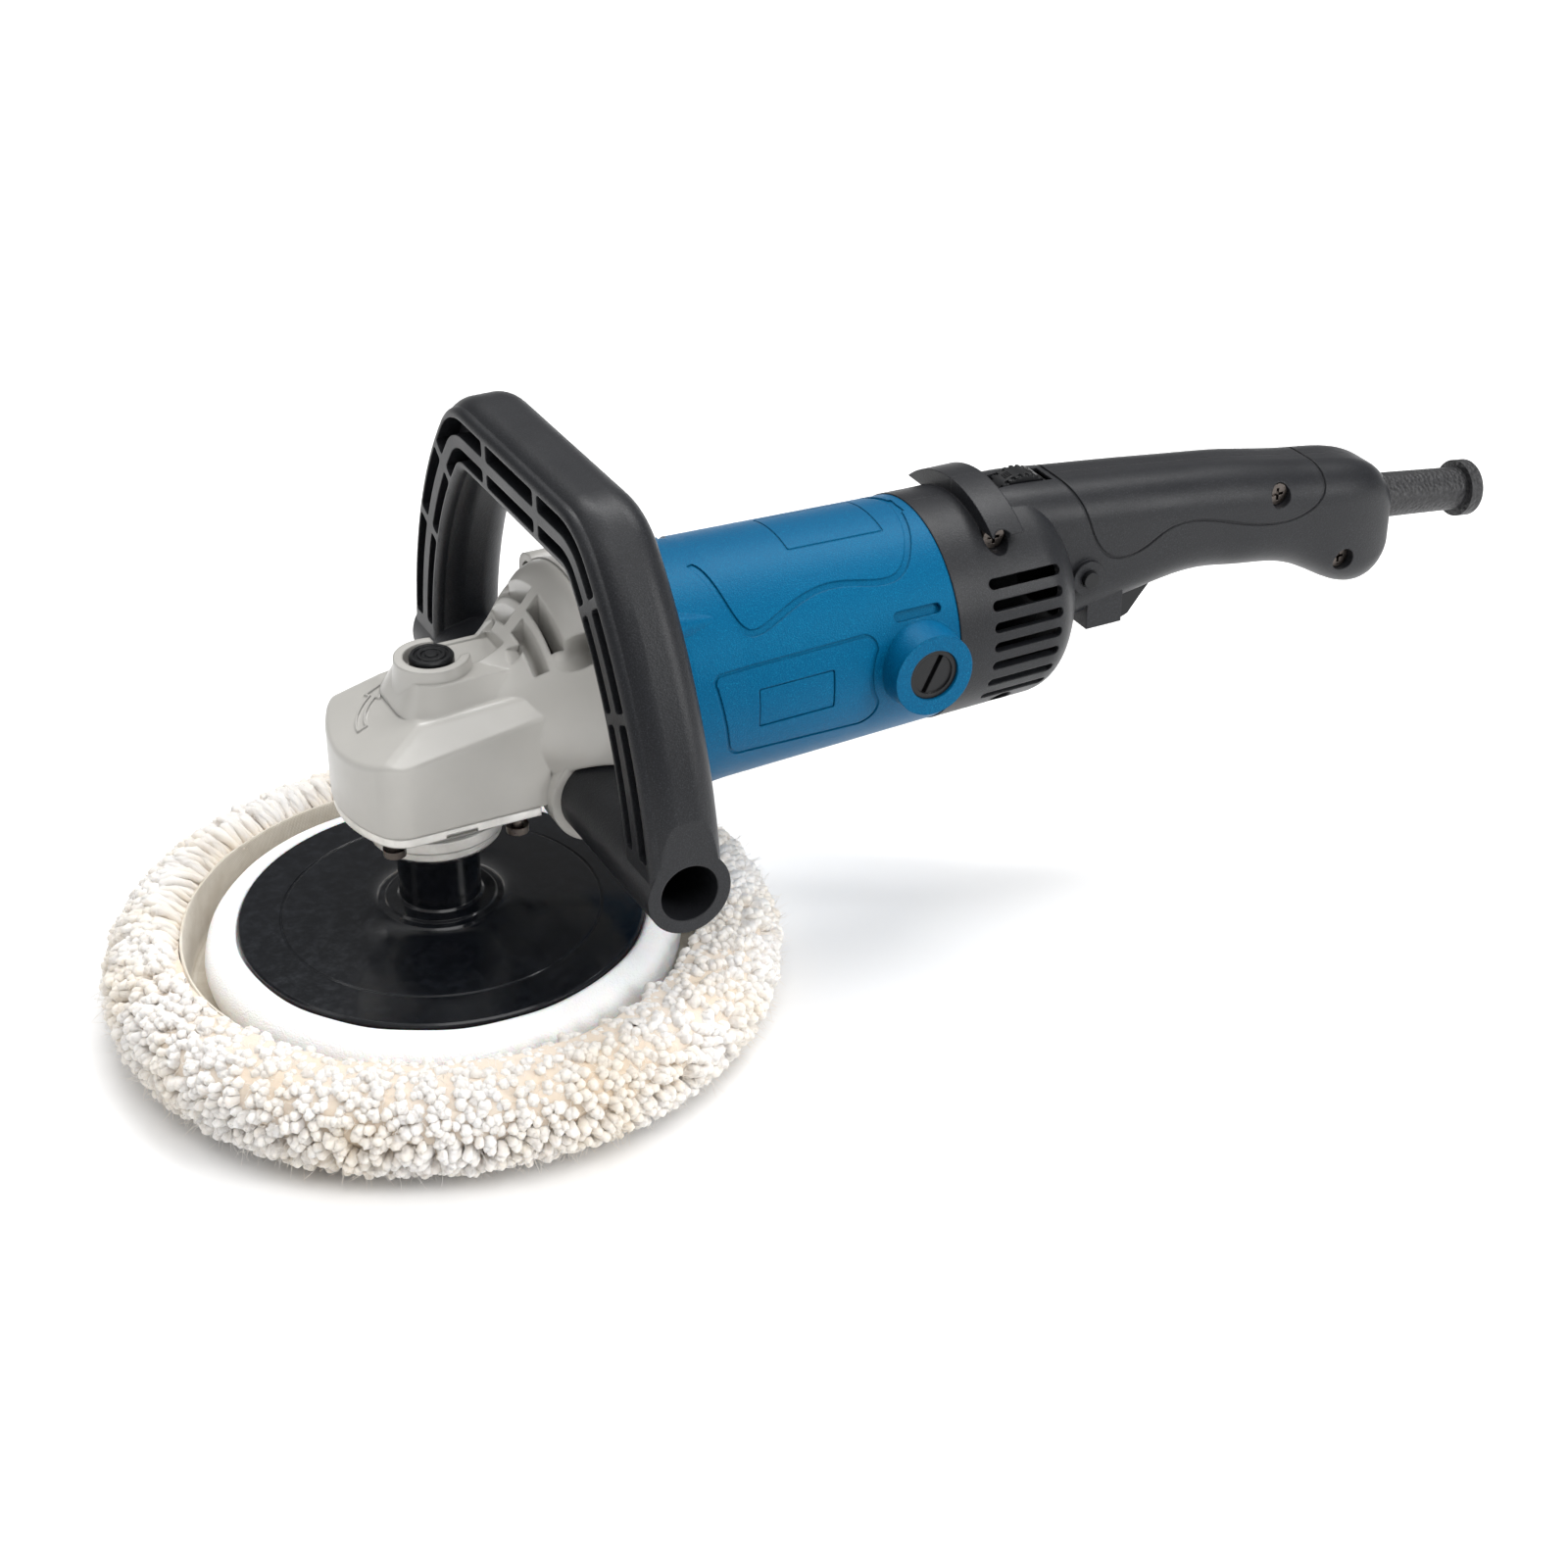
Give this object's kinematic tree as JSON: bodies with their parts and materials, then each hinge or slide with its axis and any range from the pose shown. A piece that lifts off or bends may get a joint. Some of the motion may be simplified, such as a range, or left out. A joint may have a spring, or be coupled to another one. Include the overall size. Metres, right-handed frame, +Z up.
{
  "type": "rotary polisher",
  "caption": "Corded rotary polisher with a loop handle over the gear head, a long rear grip and a tufted wool pad on a threaded backing plate.",
  "frame": {"origin": "centre of the wool pad's flat working face, on the spindle axis", "axes": "+Z up along the spindle from the pad to the gear head; +X along the motor from the gear head to the rear grip; +Y completes the right hand and runs along the loop handle"},
  "size_m": [0.5543, 0.235, 0.1997],
  "materials": {
    "cast_grey": "satin sprayed die casting",
    "cast_silver": "fine cast",
    "blue_housing": "fine spark-eroded texture",
    "black_shell": "satin texture, glass filled",
    "black_fittings": "smooth moulded",
    "black_guard": "coarse grain",
    "plate_black": "polished",
    "foam": "open-cell foam",
    "wool": "cut twisted yarn",
    "felt": "woven cloth",
    "hook_fabric": "hook and loop",
    "steel": "machined",
    "screw_steel": "dark plated",
    "laminated_iron": "stacked sheets",
    "copper": "enamelled wire",
    "brass": "drawn",
    "carbon": "pressed carbon",
    "board": "coated board"
  },
  "bodies": {
    "chassis": {"armature_bearing_front": "steel", "armature_bearing_rear": "steel", "bearing_box": "cast_silver", "bearing_box_screws": "screw_steel", "brush_cap_left": "black_fittings", "brush_cap_right": "black_fittings", "brush_holders": "brass", "brush_springs": "steel", "carbon_brushes": "carbon", "cord_clamp": "black_fittings", "cord_clamp_screws": "screw_steel", "cord_guard": "black_guard", "dial_axle": "black_fittings", "field_coils": "copper", "gear_cover": "cast_silver", "gear_housing": "cast_grey", "gear_housing_screws": "screw_steel", "handle_shell_left": "black_shell", "handle_shell_right": "black_shell", "idler_bearing_front": "steel", "idler_bearing_rear": "steel", "lock_on_spring": "steel", "loop_handle": "black_shell", "loop_handle_bolts": "screw_steel", "loop_handle_washers": "steel", "motor_housing": "blue_housing", "nameplate": "blue_housing", "shell_screws": "screw_steel", "speed_board": "board", "spindle_bearing_lower": "steel", "spindle_bearing_upper": "steel", "spindle_lock_spring": "steel", "stator_core": "laminated_iron", "switch_body": "black_fittings", "trigger_pin": "steel", "trigger_spring": "steel"},
    "spindle_set": {"spindle": "steel", "crown_gear": "steel", "crown_ring": "steel", "thread_insert": "steel", "backing_plate": "plate_black", "foam_pad": "foam", "hook_disc": "hook_fabric", "wool_backing": "felt", "wool_pad": "wool"},
    "idler_set": {"idler_shaft": "steel", "idler_gear": "steel"},
    "armature_set": {"armature_shaft": "steel", "armature_core": "laminated_iron", "armature_windings": "copper", "commutator": "copper", "cooling_fan": "black_fittings"},
    "trigger_lever": {"trigger": "black_fittings"},
    "lock_on": {"lock_on_button": "black_fittings"},
    "spindle_lock": {"spindle_lock_button": "black_fittings", "spindle_lock_pin": "steel"},
    "dial": {"speed_dial": "black_fittings"}
  },
  "joints": [
    {"name": "spindle_spin", "type": "hinge", "parent": "chassis", "child": "spindle_set", "pos_m": [0, 0, 0.0898], "axis": [0, 0, 1], "continuous": true},
    {"name": "idler_spin", "type": "hinge", "parent": "chassis", "child": "idler_set", "pos_m": [0.04, 0, 0.0898], "axis": [1, 0, 0], "continuous": true},
    {"name": "armature_spin", "type": "hinge", "parent": "chassis", "child": "armature_set", "pos_m": [0.11, 0, 0.109], "axis": [1, 0, 0], "continuous": true},
    {"name": "trigger_pull", "type": "hinge", "parent": "chassis", "child": "trigger_lever", "pos_m": [0.2812, 0, 0.105], "axis": [0, 1, 0], "range_deg": [0, 7], "stiffness_Nm_per_rad": 0.8, "springref_deg": -8.59},
    {"name": "lock_on_press", "type": "slide", "parent": "chassis", "child": "lock_on", "axis": [0, 1, 0], "range_m": [0, 0.003], "stiffness_N_per_m": 300, "springref_m": -0.002},
    {"name": "spindle_lock_press", "type": "slide", "parent": "chassis", "child": "spindle_lock", "axis": [0, 0, -1], "range_m": [0, 0.0034], "stiffness_N_per_m": 600, "springref_m": -0.003},
    {"name": "speed_dial_turn", "type": "hinge", "parent": "chassis", "child": "dial", "pos_m": [0.2265, 0, 0.1394], "axis": [0, 1, 0], "range_deg": [-100, 100]}
  ],
  "couplings": [
    {"joint": "idler_spin", "follows": "spindle_spin", "ratio": -2.4286},
    {"joint": "armature_spin", "follows": "spindle_spin", "ratio": 9.2286}
  ]
}
